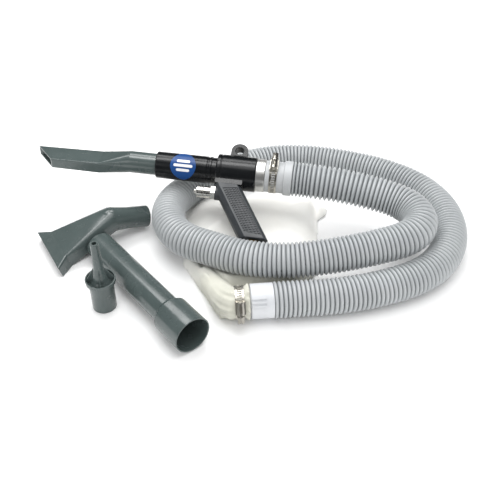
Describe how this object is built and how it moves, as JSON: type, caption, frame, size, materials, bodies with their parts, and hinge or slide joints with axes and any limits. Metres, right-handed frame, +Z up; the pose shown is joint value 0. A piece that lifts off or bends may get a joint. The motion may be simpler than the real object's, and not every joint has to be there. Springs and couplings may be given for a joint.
{
  "type": "compressed-air vacuum gun kit",
  "caption": "Compressed-air vacuum gun with a ribbed hose, a cloth dust bag, clamps and loose nozzles, laid out flat.",
  "frame": {"origin": "middle of the bottom of the kit without its hose, on the floor", "axes": "+Z up, -X along the nozzle of the gun, +Y away from the viewer side"},
  "size_m": [0.6075, 0.41, 0.1119],
  "materials": {
    "gloss_black": "gloss",
    "grip_charcoal": "matte",
    "badge_blue": "gloss",
    "bright_metal": "brushed",
    "nickel": "polished",
    "brass": "satin",
    "stainless": "satin",
    "seal_rubber": "matte",
    "cuff_grey": "satin",
    "hose_grey": "satin",
    "white_plastic": "satin",
    "cotton_cloth": "matte",
    "slate_grey": "satin"
  },
  "bodies": {
    "gun_and_bag": {"gun_housing": "gloss_black", "suction_tube": "gloss_black", "jet_ring": "brass", "gallery_o_rings": "seal_rubber", "outlet_collar": "bright_metal", "hose_cuff": "cuff_grey", "badge": "badge_blue", "grip": "grip_charcoal", "inlet_bush": "brass", "air_nipple": "brass", "valve_nut": "nickel", "valve_body": "nickel", "valve_spring": "stainless", "front_clamp_band": "stainless", "front_clamp_box": "stainless", "bag_clamp_band": "stainless", "bag_clamp_box": "stainless", "bag_connector": "white_plastic", "dust_bag": "cotton_cloth", "hose": "hose_grey"},
    "trigger": {"trigger_button": "nickel", "valve_seal": "seal_rubber"},
    "crevice": {"crevice_nozzle": "slate_grey"},
    "front_screw": {"front_clamp_screw": "stainless"},
    "bag_screw": {"bag_clamp_screw": "stainless"},
    "wide": {"wide_nozzle": "slate_grey"},
    "extension": {"extension_tube": "slate_grey"},
    "adaptor": {"tip_adaptor": "slate_grey"}
  },
  "joints": [
    {"name": "trigger_press", "type": "slide", "parent": "gun_and_bag", "child": "trigger", "axis": [0.9905, -0.133, -0.0349], "range_m": [0, 0.003], "stiffness_N_per_m": 1000, "springref_m": -0.003, "deforming": ["valve_spring"]},
    {"name": "nozzle_pull", "type": "slide", "parent": "gun_and_bag", "child": "crevice", "axis": [-0.9905, 0.133, 0.0349], "range_m": [0, 0.06]},
    {"name": "front_clamp_turn", "type": "hinge", "parent": "gun_and_bag", "child": "front_screw", "pos_m": [0.12788, 0.09583, 0.10346], "axis": [0.1375, 0.9605, 0.2418], "continuous": true},
    {"name": "bag_clamp_turn", "type": "hinge", "parent": "gun_and_bag", "child": "bag_screw", "pos_m": [0.08329, -0.11305, 0.03611], "axis": [0.0434, -0.4675, -0.8829], "continuous": true},
    {"name": "wide_lift", "type": "slide", "parent": "gun_and_bag", "child": "wide", "axis": [0, 0, 1], "range_m": [0, 0.15]},
    {"name": "extension_lift", "type": "slide", "parent": "gun_and_bag", "child": "extension", "axis": [0, 0, 1], "range_m": [0, 0.1]},
    {"name": "adaptor_lift", "type": "slide", "parent": "gun_and_bag", "child": "adaptor", "axis": [0, 0, 1], "range_m": [0, 0.1]}
  ]
}
